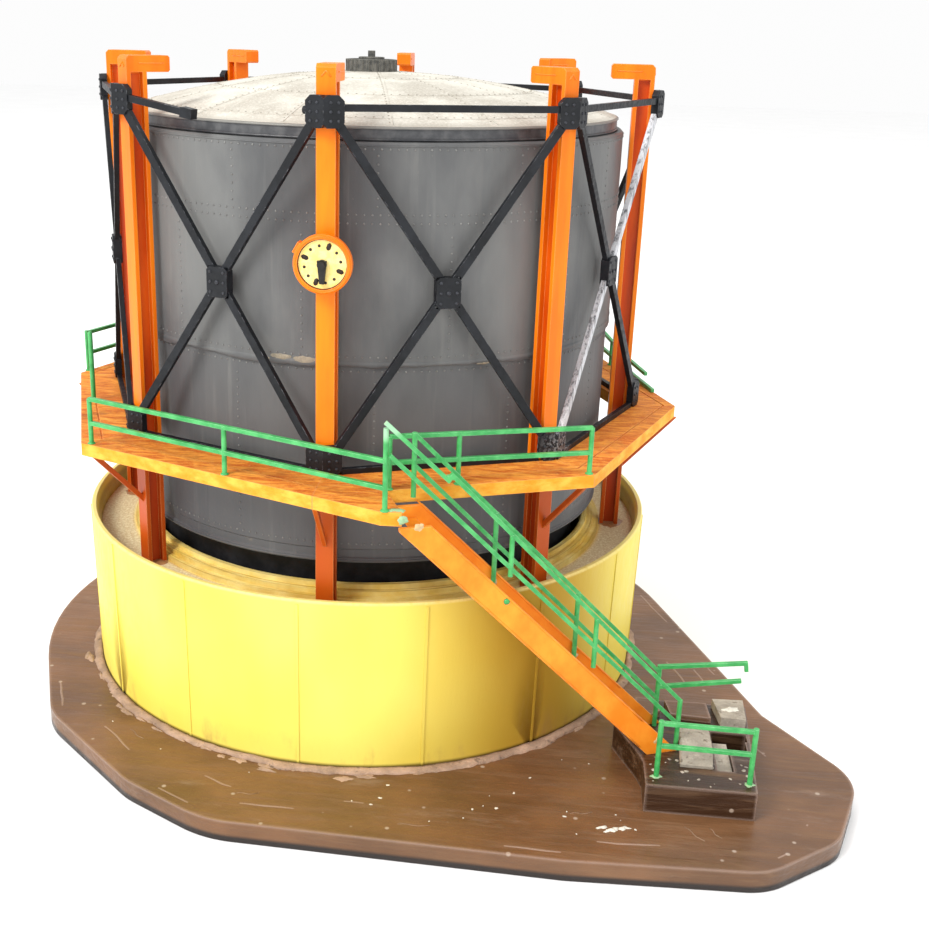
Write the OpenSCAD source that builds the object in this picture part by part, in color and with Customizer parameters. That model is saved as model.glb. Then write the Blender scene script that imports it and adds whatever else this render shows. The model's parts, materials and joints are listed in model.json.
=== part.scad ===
// Model gas holder: a riveted bell stands in a round basin between eight guide columns.
// The columns carry crossed bracing, top ties and an octagonal gallery with a steep stair.
// The bell slides up and down on a central mast, and the level dial has a turning pointer.
// Millimetres, +Z up, origin on the underside of the board below the middle of the basin.

/* [Board] */
// Thickness of the base board
board_h = 5; // [4.5:0.1:5.5]
// Radius of the main round part of the board
board_r = 88.5; // [87:0.5:90]
// Width of the bedding band around the foot of the basin
bedding_w = 2; // [1.6:0.1:2.6]

/* [Basin] */
// Height of the basin above the board
basin_h = 42.5; // [42:0.1:43]
// Outer radius of the basin wall
basin_r = 73.3; // [73:0.1:73.6]
// Wall thickness of the basin
basin_t = 1.5; // [1.2:0.1:1.8]
// Number of upright seams on the basin wall
basin_seams = 16; // [8:1:24]
// Depth of the basin floor below the rim
floor_drop = 5.4; // [5:0.1:6]
// Radius of the well in the basin floor
well_r = 58; // [57.5:0.1:58.2]

/* [Bell] */
// Outer radius of the upper shell of the bell
bell_r = 61.4; // [61.2:0.1:61.6]
// Outer radius of the lower shell of the bell
bell_low_r = 60.8; // [60.4:0.1:61]
// Shell thickness of the bell
bell_t = 1.5; // [1.2:0.1:1.8]
// Gap between the basin rim and the lower edge of the bell
bell_gap = 4; // [3.8:0.1:4.5]
// Rise of the domed roof above the rim band
roof_rise = 8.9; // [8:0.1:9]

/* [Columns] */
// Width of a column across its flanges
col_w = 4; // [3.6:0.1:4.2]
// Height of the column heads above the basin rim
col_top = 112.65; // [112.6:0.05:113]
// Reach of a column head from the axis of the bell
arm_r = 57.5; // [57.4:0.1:58]

/* [Bracing] */
// Width of a brace bar
brace_w = 1.8; // [1.4:0.1:2.2]
// Height of a top gusset
gusset_h = 6.3; // [5.8:0.1:6.8]
// Side of a centre plate where two braces cross
plate_w = 5.4; // [4.8:0.1:6]

/* [Gallery] */
// Radius of the gallery across its corners
deck_r = 82.5; // [82:0.1:83]
// How much shorter the left and right corners of the gallery are
side_trim = 2.2; // [0:0.1:2.4]
// Height of the gallery deck above the basin rim
deck_h = 28; // [27.8:0.1:28.2]
// Thickness of the gallery deck
deck_t = 3; // [2.6:0.1:3.2]
// Height of the gallery handrail
rail_h = 10.6; // [10:0.1:11.5]
// Thickness of the rail bars
rail_d = 0.9; // [0.9:0.1:1.3]

/* [Stair] */
// Distance between the two stringers
stair_w = 12; // [11.5:0.1:12.5]
// Number of treads
tread_count = 19; // [12:1:19]
// Upright depth of a stringer
stringer_d = 7.5; // [6.5:0.1:8]
// Height of the stair foot block above the board
block_h = 6.9; // [6.6:0.1:7.1]

/* [Dial] */
// Outer radius of the dial case
dial_r = 6.1; // [5.9:0.1:6.4]
// Height of the dial above the basin rim
dial_h = 73.9; // [72:0.1:75]

/* [Hidden] */
$fn = 96;
N = 8;
turn = 360 / N;
half = turn / 2;
e = 0.02;

orange = [0.86, 0.36, 0.10];
rust = [0.66, 0.24, 0.08];
steel = [0.08, 0.09, 0.10];
green = [0.20, 0.52, 0.30];
grey = [0.30, 0.30, 0.32];
cream = [0.93, 0.78, 0.42];
stone = [0.80, 0.76, 0.66];
brown = [0.36, 0.25, 0.20];

rim_z = board_h + basin_h;
floor_z = rim_z - floor_drop;
ring_z = rim_z - 2;
rim_r = basin_r + 0.85;

bell_z = rim_z + bell_gap;
lap_z = rim_z + 50.6;
shoulder_z = rim_z + 97.4;
band_z = rim_z + 100.4;
band_r = bell_r - 1.65;
crown_r = 6.35;
crown_x = -1;
crown_z = band_z + roof_rise;
roof_R = (band_r * band_r - crown_r * crown_r) / (2 * roof_rise) + roof_rise / 2;
roof_c = band_z - sqrt(roof_R * roof_R - band_r * band_r);
skirt_r = 55.6;
skirt_z = 30;
mast_r = 8;
sleeve_gap = 0.06;

col_ri = 63.1;
col_ro = 67.9;
flange = 1;
web = 1.2;
col_z = rim_z + col_top;
arm_z = rim_z + 109.2;

brace_in = 63.7;
brace_out = 64.9;
wing_in = 63.55;
wing_out = 65.3;
wing_l = 3.5;
gus_z = rim_z + 100.5;
foot_h = 6.5;
cross_z = rim_z + 67;
tie_z = rim_z + 104.4;
tie_x = wing_out * tan(half) - wing_l - 0.8;

deck_z = rim_z + deck_h;
deck_a = deck_r * cos(half);
deck_ai = 62.5;
rail_a = deck_a - 1;
mid_h = rail_h - 5.7;

block_z = board_h + block_h;
stair_x = 19.8;
stair_y = -89.2;
stair_top = 78.4;
land_w = 15.67;
land_d = 13.1;

dial_z = rim_z + dial_h;
pin_r = 0.5;

// ---------- helpers ----------

// Column k stands at the angle k * turn, counted from the front
module at_column(k) {
    rotate([0, 0, k * turn]) children();
}

// Side k lies between column k and column k + 1; its outside faces -Y
module at_side(k) {
    rotate([0, 0, k * turn + half]) children();
}

// Turned body from a list of [radius, height] points
module turned(pts) {
    rotate_extrude() polygon(pts);
}

// Upright plate: an outline in X and Z, from y = a to y = b
module plate_xz(pts, a, b) {
    translate([0, b, 0]) rotate([90, 0, 0]) linear_extrude(b - a) polygon(pts);
}

// Upright plate: an outline in Y and Z, centred on x = 0
module plate_yz(pts, w) {
    translate([-w / 2, 0, 0]) rotate([90, 0, 90]) linear_extrude(w) polygon(pts);
}

// Square bar from point a to point b
module bar(a, b, w, turned_by = 0) {
    d = b - a;
    l = norm(d);
    flat = norm([d[0], d[1]]);
    az = flat > 0.001 ? atan2(d[1], d[0]) : turned_by;
    translate(a) rotate([0, acos(d[2] / l), az]) translate([-w / 2, -w / 2, 0]) cube([w, w, l]);
}

// Flat sloping bar in the plane of a side, from [x, z] to [x, z]
module flat_bar(a, b, w, y1, y2) {
    d = b - a;
    l = norm(d);
    n = [-d[1], d[0]] * (w / 2 / l);
    plate_xz([a + n, a - n, b - n, b + n], y1, y2);
}

// Radius of gallery corner k; the left and right corners are cut a little shorter
function corner_r(k) = deck_r - (k % 4 == 2 ? side_trim : 0);

// Clear space of one column, used to notch what meets it
module column_space(gap = 0.03) {
    translate([-col_w / 2 - gap, -col_ro - gap, floor_z - 5])
        cube([col_w + 2 * gap, col_ro - col_ri + 2 * gap, col_top + 20]);
}

// Rectangle with cut corners, as [x, z] points
function cut_rect(x1, x2, z1, z2, c) = [
    [x1 + c, z1], [x2 - c, z1], [x2, z1 + c], [x2, z2 - c],
    [x2 - c, z2], [x1 + c, z2], [x1, z2 - c], [x1, z1 + c]
];

// ---------- board and basin ----------

// Disc of radius r at [x, y]
module spot(x, y, r) {
    translate([x, y]) circle(r);
}

module base_board() {
    color(brown) linear_extrude(board_h) union() {
        hull() {
            spot(0, 2, board_r);
            spot(-50, -45, 24.2);
            spot(-30, -68, 20.9);
            spot(-14, -70, 27);
            spot(56, -72, 27.3);
            spot(95, -40, 12.6);
        }
        hull() {
            spot(56, -72, 27.3);
            spot(95, -41, 13.6);
            spot(106.5, -61.5, 15.6);
            spot(104, -76, 13);
            spot(93, -83.5, 14);
        }
    }
}

module bedding_ring() {
    outline = [for (i = [0:119]) let (a = 3 * i,
        r = basin_r + bedding_w + 0.35 * sin(5 * a) + 0.25 * sin(11 * a + 40)) r * [cos(a), sin(a)]];
    color(stone) translate([0, 0, board_h]) difference() {
        linear_extrude(1.1) polygon(outline);
        translate([0, 0, -1]) cylinder(r = basin_r + 0.5, h = 4, $fn = 240);
    }
}

module basin_wall() {
    color(cream) union() {
        turned([[basin_r - basin_t, board_h], [basin_r, board_h], [rim_r, rim_z - 0.4],
            [rim_r - 0.3, rim_z], [rim_r - 1.2, rim_z], [basin_r - basin_t, rim_z - 3]]);
        for (i = [0:basin_seams - 1]) rotate([0, 0, -94.2 + i * 360 / basin_seams])
            rotate_extrude(angle = 0.5) polygon([[basin_r - 0.5, board_h],
                [basin_r + 0.22, board_h], [rim_r + 0.2, rim_z - 1], [rim_r - 0.5, rim_z - 1]]);
    }
}

module basin_floor() {
    color(cream) difference() {
        translate([0, 0, floor_z - 2]) cylinder(r = basin_r - basin_t, h = 2);
        translate([0, 0, floor_z - 3]) cylinder(r = well_r, h = 4);
    }
}

module basin_steps() {
    w = 1.6;
    color(cream) turned([[well_r, floor_z], [well_r, ring_z - 0.4], [well_r + 0.4, ring_z],
        [well_r + w, ring_z], [well_r + w, ring_z - 1.1], [well_r + 2 * w, ring_z - 1.1],
        [well_r + 2 * w, ring_z - 2.2], [well_r + 3 * w, ring_z - 2.2], [well_r + 3 * w, floor_z]]);
}

module guide_mast() {
    color(grey) translate([0, 0, board_h]) {
        cylinder(r = mast_r, h = 132);
        cylinder(r = 16, h = 3);
    }
}

// ---------- columns ----------

module column(k) {
    color(orange) at_column(k) difference() {
        union() {
            translate([-col_w / 2, -col_ro, floor_z]) cube([col_w, flange, col_z - floor_z - 1]);
            translate([-col_w / 2, -col_ri - flange, floor_z])
                cube([col_w, flange, col_z - floor_z - 1]);
            translate([-web / 2, -col_ro + 0.5, floor_z])
                cube([web, col_ro - col_ri - 1, col_z - floor_z - 1]);
            plate_yz([[-col_ro, arm_z], [-col_ro, col_z - 0.7], [-col_ro + 0.7, col_z],
                [-arm_r - 0.4, col_z], [-arm_r, col_z - 0.4], [-arm_r, arm_z + 0.4],
                [-arm_r - 0.4, arm_z]], col_w);
        }
        translate([0, -col_ro + 0.25, arm_z - 3.4]) rotate([90, 0, 0]) cylinder(r = 0.7, h = 2);
    }
}

// ---------- gallery ----------

module deck(k) {
    a = corner_r(k);
    b = corner_r(k + 1);
    wi = deck_ai * tan(half);
    color(rust) at_side(k) difference() {
        translate([0, 0, deck_z - deck_t]) linear_extrude(deck_t)
            polygon([a * [-sin(half), -cos(half)], b * [sin(half), -cos(half)],
                [wi, -deck_ai], [-wi, -deck_ai]]);
        translate([-40, -deck_a + 4.6, deck_z - 0.3]) cube([80, 0.4, 1]);
        rotate([0, 0, half]) column_space();
        rotate([0, 0, -half]) column_space();
    }
}

module landing() {
    s = [for (w = [0, land_w]) [cos(half) * w, -deck_r + sin(half) * w]];
    out = s[1] + [sin(half), -cos(half)] * land_d;
    color(rust) translate([0, 0, deck_z - deck_t]) linear_extrude(deck_t)
        polygon([s[0], [15.2, -88.8], out, s[1]]);
}

module deck_struts() {
    z = deck_z - deck_t;
    color(orange) for (k = [0:N - 1]) at_column(k)
        plate_yz([[-col_ro, z - 14.4], [-col_ro, z - 12.6], [-col_ro - 11.4, z],
            [-col_ro - 13, z]], 1);
}

// ---------- bracing ----------

module wing(x1, x2, z, h) {
    plate_xz(cut_rect(x1, x2, z, z + h, 1.1), -wing_out, -wing_in);
}

// Folded gusset at a column: two wings, one in the plane of each neighbouring side
module gusset(z, h) {
    wl = wing_out * tan(half);
    difference() {
        union() {
            intersection() {
                rotate([0, 0, half]) wing(-wl - 0.3, -wl + wing_l + 0.8, z, h);
                translate([0, -90, z - 1]) cube([20, 60, h + 2]);
            }
            intersection() {
                rotate([0, 0, -half]) wing(wl - wing_l - 0.8, wl + 0.3, z, h);
                translate([-20, -90, z - 1]) cube([20, 60, h + 2]);
            }
            translate([-col_w / 2, -col_ro - 1.4, z + 0.5]) cube([col_w, 1.4, h - 1]);
        }
        column_space(0);
    }
}

module gusset_space(z, h) {
    gusset(z, h);
    translate([-col_w / 2 - 0.5, -col_ro - 1, z]) cube([col_w + 1, 1.5, h]);
}

module side_cuts() {
    translate([-plate_w / 2, -wing_out - 0.4, cross_z - 3.3]) cube([plate_w, 3, 6.6]);
    for (s = [-1, 1]) rotate([0, 0, s * half]) {
        column_space();
        gusset_space(gus_z, gusset_h);
        gusset_space(deck_z, foot_h);
    }
    translate([-40, -90, deck_z - 5]) cube([80, 60, 5]);
}

module brace(dir) {
    x = 26.4;
    z1 = deck_z + 1.8;
    z2 = gus_z + gusset_h - 1.8;
    difference() {
        flat_bar([-dir * x, z1], [dir * x, z2], brace_w, -brace_out, -brace_in);
        side_cuts();
    }
}

module braces_rising() {
    color(steel) for (k = [0:N - 1]) at_side(k) brace(1);
}

module braces_falling() {
    color(steel) for (k = [0:N - 1]) at_side(k) brace(-1);
}

module cross_plates() {
    color(steel) for (k = [0:N - 1]) at_side(k)
        plate_xz(cut_rect(-plate_w / 2, plate_w / 2, cross_z - 3.3, cross_z + 3.3, 0.7),
            -wing_out - 0.1, -wing_in + 0.3);
}

module top_gussets() {
    color(steel) {
        for (k = [0:N - 1]) at_column(k) gusset(gus_z, gusset_h);
        rotate([0, 0, -half]) translate([tie_x - 0.8, -brace_out + 0.5, tie_z - 0.6])
            rotate([0, 90, 0]) cylinder(r = 0.8, h = 1.1, $fn = 32);
    }
}

module foot_gussets() {
    color(steel) for (k = [0:N - 1]) at_column(k) gusset(deck_z, foot_h);
}

// Ties join the gussets of seven sides; the tie on the front left side is broken off
module top_ties() {
    color(steel) {
        for (k = [0:N - 2]) at_side(k)
            translate([-tie_x, -brace_out, tie_z - 0.7])
                cube([2 * tie_x, brace_out - brace_in, 1.4]);
        at_side(7) difference() {
            union() {
                bar([-26, -64.3, tie_z], [-6.2, -64.3, tie_z - 2.9], 1.4);
                bar([-8.6, -64.3, tie_z - 2.55], [-5.6, -64.3, tie_z - 2.95], 2.1);
            }
            translate([-30, -70, tie_z - 5]) cube([30 - tie_x, 10, 10]);
        }
    }
}

module foot_ties() {
    color(steel) for (k = [0:N - 1]) at_side(k)
        translate([-tie_x, -brace_out, deck_z]) cube([2 * tie_x, brace_out - brace_in, 1.3]);
}

// ---------- stair ----------

// Stair frame: x runs down the stair in plan, y to the basin, z is height
module at_stair() {
    translate([stair_x, stair_y, 0]) rotate([0, 0, half]) children();
}

// Sloping board of a stringer: it starts below the deck and stands on the foot block
module stringer_shape(top, y1, y2) {
    head = deck_z - deck_t - e;
    low = top - stringer_d;
    u = low - block_z;
    plate_xz([[-0.8, head], [-0.8, head - 0.8], [low - head + 2, head - 2], [u, block_z],
        [top - block_z, block_z], [top - head, head]], y1, y2);
}

module stringer_outer() {
    color(orange) at_stair() difference() {
        stringer_shape(stair_top, -0.45, 0.45);
        for (u = [22.9]) translate([u, 0, stair_top - u - 1.4])
            rotate([90, 0, 0]) cylinder(r = 0.75, h = 3, center = true);
    }
}

module stringer_inner() {
    color(orange) at_stair() stringer_shape(stair_top + 1.8, stair_w - 0.45, stair_w + 0.45);
}

module stair_treads() {
    p = 3;
    color(orange) at_stair() for (i = [0:tread_count - 1])
        translate([3.4 + p * i, 0.45, stair_top - 9.3 - p * i]) cube([2.7, stair_w - 0.9, 0.7]);
}

// Post centred at u, y between two heights
module post(u, y, z1, z2) {
    translate([u, y, z1]) cylinder(d = rail_d + 0.2, h = z2 - z1, $fn = 32);
}

module stair_rail_outer() {
    y = 1.5;
    color(green) difference() {
        at_stair() union() {
            bar([-3.6, y, rim_z + 46.8], [10, y, rim_z + 33.6], rail_d);
            bar([9.4, y, rim_z + 34.6], [11, y, rim_z + 34.4], rail_d);
            bar([10.2, y, rim_z + 35.2], [67.2, y, rim_z - 23.8], rail_d);
            bar([-2.6, y, rim_z + 40], [67.2, y, rim_z - 29.9], rail_d);
            post(24.1, y, stair_top - 24.1 + 4.6, rim_z + 20.8);
            post(44.8, y, stair_top - 44.8 + 1.4, rim_z - 0.7);
            post(67.2, y, block_z, rim_z - 23.6);
        }
        corner_post();
    }
}

module stair_rail_inner() {
    y = stair_w - 1.08;
    u = 66.4;
    end = [stair_x + u * cos(half) - y * sin(half), stair_y + u * sin(half) + y * cos(half)];
    color(green) union() {
        at_stair() {
            bar([5.3, y, rim_z + 40.9], [u, y, rim_z - 21.4], rail_d);
            bar([5.3, y, rim_z + 34.2], [u, y, rim_z - 28.2], rail_d);
            post(5.2, y, rim_z + 27.2, rim_z + 41.3);
            post(23.9, y, stair_top - 23.9 - 1.6, rim_z + 22.2);
            post(44.3, y, stair_top - 44.3 - 1.6, rim_z + 1.4);
            post(u, y, block_z, rim_z - 19.6);
        }
        bar([end[0], end[1], rim_z - 20], [97, -52.6, rim_z - 17.9], rail_d);
        bar([96.6, -52.6, rim_z - 17.9], [96.9, -52.6, rim_z - 20], 0.9);
        bar([end[0], end[1], rim_z - 25.2], [96, -52.6, rim_z - 22.6], rail_d);
    }
}

module foot_block() {
    outline = [[73.5, -79.2], [97.6, -79.2], [99.8, -41.5], [72, -41.5], [67.5, -54],
        [72.6, -66.5], [73.5, -70]];
    color(brown) difference() {
        translate([0, 0, board_h]) linear_extrude(block_h) polygon(outline);
        translate([93.4, -63, board_h + 0.8]) cube([4.2, 5.2, 10]);
        translate([89.9, -58, board_h + 0.8]) cube([8.3, 3.5, 10]);
        translate([89.9, -71.2, block_z - 1.4]) cube([3.6, 13.3, 4]);
    }
}

// Loose rubble slabs laid on the foot block
module foot_slabs() {
    color(stone) {
        translate([0, 0, block_z]) hull() {
            translate([82.4, -66, 0]) cube([6.8, 9.2, 1.9]);
            translate([81.6, -71, 0]) cube([7.2, 1, 0.7]);
        }
        translate([89.95, -71, block_z - 1.4]) cube([3.4, 12.9, 0.5]);
        translate([0, 0, block_z]) linear_extrude(2.4)
            polygon([[92.6, -51.6], [98.4, -52], [98.8, -42.5], [91.4, -43]]);
    }
}

module rear_slabs() {
    color(brown) translate([0, 0, block_z]) {
        linear_extrude(1.3) polygon([[81, -50], [90.5, -50.6], [90, -43.4], [80, -43.6]]);
        linear_extrude(1.7)
            polygon([[72.4, -52.6], [75.4, -52.4], [78.6, -49.4], [78, -43.8], [73, -44]]);
    }
}

module foot_rail() {
    a = [76, -75.6];
    b = [96.2, -75.8];
    z = rim_z - 35.6;
    color(green) union() {
        bar([a[0], a[1], z + 13.4], [b[0], b[1], z + 13.2], rail_d);
        bar([a[0], a[1], z + 7.8], [b[0], b[1], z + 7.6], rail_d);
        for (p = [a, b]) translate([p[0], p[1], block_z])
            cylinder(d = rail_d + 0.3, h = z + 14 - block_z, $fn = 32);
    }
}

// ---------- gallery rails ----------

// Upright at position s along side k
module rail_post(k, s, top, a = rail_a) {
    at_side(k) translate([s, -a, deck_z]) cylinder(d = rail_d + 0.2, h = top, $fn = 32);
}

// Handrail and middle rail along side k from s1 to s2
module rail_run(k, s1, s2, a1 = rail_a, a2 = rail_a) {
    at_side(k) for (z = [rail_h, mid_h])
        bar([s1, -a1, deck_z + z], [s2, -a2, deck_z + z], rail_d);
}

// Tall post on the outer corner of the landing
module corner_post() {
    translate([15.9, -88.2, deck_z]) cylinder(d = rail_d + 0.2, h = 17.4, $fn = 32);
}

module rail_front_left() {
    s = 48.4;
    color(green) union() {
        rail_run(7, -29.3, s, rail_a, rail_a + 0.35);
        rail_post(7, -29.3, rail_h);
        rail_post(7, 8.6, rail_h, rail_a + 0.15);
        corner_post();
    }
}

module rail_front_right() {
    color(green) union() {
        at_side(0) for (z = [rail_h, mid_h])
            bar([-15, -rail_a - 0.4, deck_z + z + 1], [30.6, -rail_a, deck_z + z], rail_d);
        rail_post(0, -15, rail_h + 1, rail_a + 0.4);
        rail_post(0, 0.2, rail_h + 0.6, rail_a + 0.3);
        rail_post(0, 30.6, rail_h);
    }
}

module rail_left() {
    color(green) union() {
        rail_run(5, -28.6, 27.6, rail_a, rail_a - 1);
        for (s = [-28.6, 0, 27.6])
            rail_post(5, s, rail_h + 0.6, rail_a - (s + 28.6) / 56.2);
    }
}

// The rail of the right side is broken at one end and sags onto the deck
module rail_right() {
    y = -rail_a;
    color(green) union() {
        at_side(2) {
            bar([29.4, y, deck_z + rail_h], [0, y, deck_z + 4.5], rail_d);
            bar([0.3, y, deck_z + 4.55], [-12, y + 0.6, deck_z + 3.6], rail_d);
            bar([29.4, y, deck_z + mid_h], [-2.5, y, deck_z + 1.1], rail_d);
            bar([-2.2, y, deck_z + 1.1], [-18, y + 1.2, deck_z + 0.6], rail_d);
        }
        rail_post(2, 29.4, rail_h + 0.6);
        rail_post(2, 12, 7);
    }
}

module rail_rear() {
    v = rail_a * tan(half);
    color(green) union() {
        rail_run(3, -29.4, v);
        rail_run(4, -v, 29.4);
        for (s = [-29.4, 0, v]) rail_post(3, s, rail_h + 0.6);
        for (s = [0, 29.4]) rail_post(4, s, rail_h + 0.6);
    }
}

module lone_post() {
    color(green) translate([-67.6, -24.7, deck_z]) cylinder(d = 1.2, h = 17.6, $fn = 32);
}

// ---------- dial ----------

module at_dial() {
    translate([0, -col_ro, dial_z]) rotate([90, 0, 0]) children();
}

module dial_case() {
    color(orange) at_dial() difference() {
        union() {
            turned([[0, 0], [dial_r - 1, 0], [dial_r - 0.7, 1.6], [dial_r, 2], [dial_r, 3.6],
                [dial_r - 0.4, 4], [0, 4]]);
            rotate(150) translate([dial_r - 0.6, -1.2, 0.6]) cube([1.1, 2.4, 2.8]);
        }
        translate([0, 0, 3]) cylinder(r = dial_r - 0.95, h = 2);
        translate([0, 0, 1.9]) cylinder(r = pin_r, h = 2);
    }
}

module dial_face() {
    color(cream) at_dial() translate([0, 0, 3]) difference() {
        cylinder(r = dial_r - 0.95, h = 0.4);
        translate([0, 0, -1]) cylinder(r = pin_r, h = 3);
    }
}

module dial_pin() {
    color(steel) at_dial() translate([0, 0, 1.9]) {
        cylinder(r = pin_r, h = 2.9, $fn = 48);
        translate([0, 0, 2.6]) cylinder(r = 0.7, h = 0.4, $fn = 48);
    }
}

// Tapered pointer with a short tail, hanging down when the gauge is empty
module pointer() {
    color(steel) at_dial() translate([0, 0, 3.55]) difference() {
        union() {
            linear_extrude(0.8) polygon([[-1, 0.8], [-0.5, -3.9], [0.5, -3.9], [1, 0.8]]);
            cylinder(r = 1, h = 0.8, $fn = 48);
        }
        translate([0, 0, -1]) cylinder(r = pin_r + 0.04, h = 3, $fn = 48);
    }
}

// ---------- bell ----------

module upper_shell() {
    color(grey) turned([[bell_r - bell_t, lap_z], [bell_r, lap_z], [bell_r, shoulder_z - 0.5],
        [bell_r - 0.5, shoulder_z], [bell_r - bell_t, shoulder_z]]);
}

module lower_shell() {
    color(grey) turned([[bell_low_r - bell_t, bell_z], [bell_low_r, bell_z],
        [bell_low_r, bell_z + 0.9], [bell_low_r - 0.35, bell_z + 1.2],
        [bell_low_r - 0.35, bell_z + 3], [bell_low_r, bell_z + 3.3], [bell_low_r, lap_z],
        [bell_low_r - bell_t, lap_z]]);
}

// Flat ring that closes the foot of the shell onto the skirt
module bottom_lip() {
    color(grey) turned([[skirt_r - 1.5, bell_z], [bell_low_r - bell_t, bell_z],
        [bell_low_r - bell_t, bell_z + 1.5], [skirt_r - 1.5, bell_z + 1.5]]);
}

module skirt() {
    color(steel) turned([[skirt_r - 1.5, skirt_z], [skirt_r, skirt_z], [skirt_r, bell_z],
        [skirt_r - 1.5, bell_z]]);
}

module rim_band() {
    color(grey) turned([[band_r - 2, shoulder_z], [band_r, shoulder_z], [band_r, band_z],
        [band_r - 2, band_z]]);
}

module roof() {
    color(stone) difference() {
        intersection() {
            translate([0, 0, roof_c]) sphere(roof_R, $fn = 180);
            translate([0, 0, band_z]) cylinder(r = band_r, h = roof_rise + 4);
        }
        intersection() {
            translate([0, 0, roof_c]) sphere(roof_R - bell_t, $fn = 180);
            translate([0, 0, band_z - 1]) cylinder(r = band_r - 2, h = roof_rise + 4);
        }
        translate([crown_x, 0, crown_z]) cylinder(r = crown_r + 0.1, h = 5);
    }
}

// Ring with fine upright ribs around its outside
module crown_ring() {
    ribs = [for (a = [0:15:345], t = [[-4, 0.25], [-3.4, 0], [3.4, 0], [4, 0.25]])
        (crown_r - t[1]) * [cos(a + t[0]), sin(a + t[0])]];
    color(grey) translate([crown_x, 0, crown_z]) difference() {
        linear_extrude(2.8) polygon(ribs);
        translate([0, 0, 1.8]) cylinder(r = crown_r - 1.1, h = 2);
    }
}

module crown_cap() {
    color(steel) translate([crown_x, 0, crown_z + 1.8]) {
        cylinder(r = 3.2, h = 1.5);
        cylinder(r = 0.9, h = 3);
    }
}

// Sleeve that rides on the mast, with eight arms out to the shell
module spider() {
    r = bell_r - bell_t;
    color(grey) difference() {
        union() {
            translate([0, 0, shoulder_z - 44]) cylinder(r = mast_r + 2.5, h = 36);
            for (a = [0:turn:359]) rotate(a + half) translate([mast_r + 1, -1, shoulder_z - 14])
                cube([r - mast_r - 1.05, 2, 6]);
        }
        translate([0, 0, shoulder_z - 46]) cylinder(r = mast_r + sleeve_gap, h = 40);
    }
}

base_board();
bedding_ring();
basin_wall();
basin_floor();
basin_steps();
guide_mast();
column(0);  // column_0
column(1);  // column_1
column(2);  // column_2
column(3);  // column_3
column(4);  // column_4
column(5);  // column_5
column(6);  // column_6
column(7);  // column_7
deck(0);  // deck_0
deck(1);  // deck_1
deck(2);  // deck_2
deck(3);  // deck_3
deck(4);  // deck_4
deck(5);  // deck_5
deck(6);  // deck_6
deck(7);  // deck_7
landing();
deck_struts();
braces_rising();
braces_falling();
cross_plates();
top_gussets();
foot_gussets();
top_ties();
foot_ties();
stringer_outer();
stringer_inner();
stair_treads();
stair_rail_outer();
stair_rail_inner();
foot_block();
foot_slabs();
rear_slabs();
foot_rail();
rail_front_left();
rail_front_right();
rail_left();
rail_right();
rail_rear();
lone_post();
dial_case();
dial_face();
dial_pin();
pointer();
upper_shell();
lower_shell();
bottom_lip();
skirt();
rim_band();
roof();
crown_ring();
crown_cap();
spider();
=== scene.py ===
"""Looks of the model gas holder: node materials, rivets, seams, marks, glue and paint detail.

Lengths below are in millimetres and become metres through mm(). The object's own frame is kept.
"""

import json
import math
import random

import bmesh
import bpy
from mathutils import Matrix, Vector, noise


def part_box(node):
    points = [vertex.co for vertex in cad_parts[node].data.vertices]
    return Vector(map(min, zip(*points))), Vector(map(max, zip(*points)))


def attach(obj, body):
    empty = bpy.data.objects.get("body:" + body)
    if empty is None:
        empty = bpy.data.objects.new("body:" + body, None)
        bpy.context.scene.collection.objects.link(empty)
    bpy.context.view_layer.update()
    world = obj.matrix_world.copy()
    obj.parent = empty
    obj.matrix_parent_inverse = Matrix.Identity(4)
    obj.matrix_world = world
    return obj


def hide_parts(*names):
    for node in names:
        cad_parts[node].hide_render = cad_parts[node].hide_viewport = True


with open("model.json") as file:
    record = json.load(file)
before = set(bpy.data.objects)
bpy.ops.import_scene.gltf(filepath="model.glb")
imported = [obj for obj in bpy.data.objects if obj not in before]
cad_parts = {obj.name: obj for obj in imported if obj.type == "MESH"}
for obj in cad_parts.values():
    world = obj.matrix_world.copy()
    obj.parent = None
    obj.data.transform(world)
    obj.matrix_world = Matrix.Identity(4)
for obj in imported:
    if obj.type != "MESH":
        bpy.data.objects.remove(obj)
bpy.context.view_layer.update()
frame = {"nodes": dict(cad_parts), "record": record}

MM = 0.001
TAU = 2 * math.pi
SIDES = 8
HALF = math.pi / SIDES


def mm(*v):
    """Point given in millimetres, as a Vector in metres."""
    return Vector(v) * MM


# ---------- places taken from the frame ----------

def low(node):
    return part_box(node)[0] / MM


def high(node):
    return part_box(node)[1] / MM


BOARD_Z = high("base_board").z
RIM_Z = high("basin_wall").z
WALL = 1.5
BASIN_R = high("basin_floor").x + WALL
FLOOR_Z = high("basin_floor").z
DECK_Z = high("deck_0").z
DECK_LOW = low("deck_0").z
BELL_R = high("upper_shell").x
BELL_LOW_R = high("lower_shell").x
BELL_Z = low("lower_shell").z
LAP_Z = low("upper_shell").z
SHOULDER_Z = high("upper_shell").z
BAND_R = high("rim_band").x
BAND_Z = high("rim_band").z
ROOF_TOP = high("roof").z
CROWN_Z = low("crown_ring").z
COLUMN_Y = low("column_0").y
COLUMN_TOP = high("column_0").z
GUS_Z = low("top_gussets").z
GUS_H = high("top_gussets").z - GUS_Z
FOOT_H = high("foot_gussets").z - DECK_Z
CROSS_Z = (low("cross_plates").z + high("cross_plates").z) / 2
DIAL_Z = (low("dial_face").z + high("dial_face").z) / 2
DIAL_Y = low("dial_face").y
BLOCK_Z = high("foot_block").z
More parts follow.
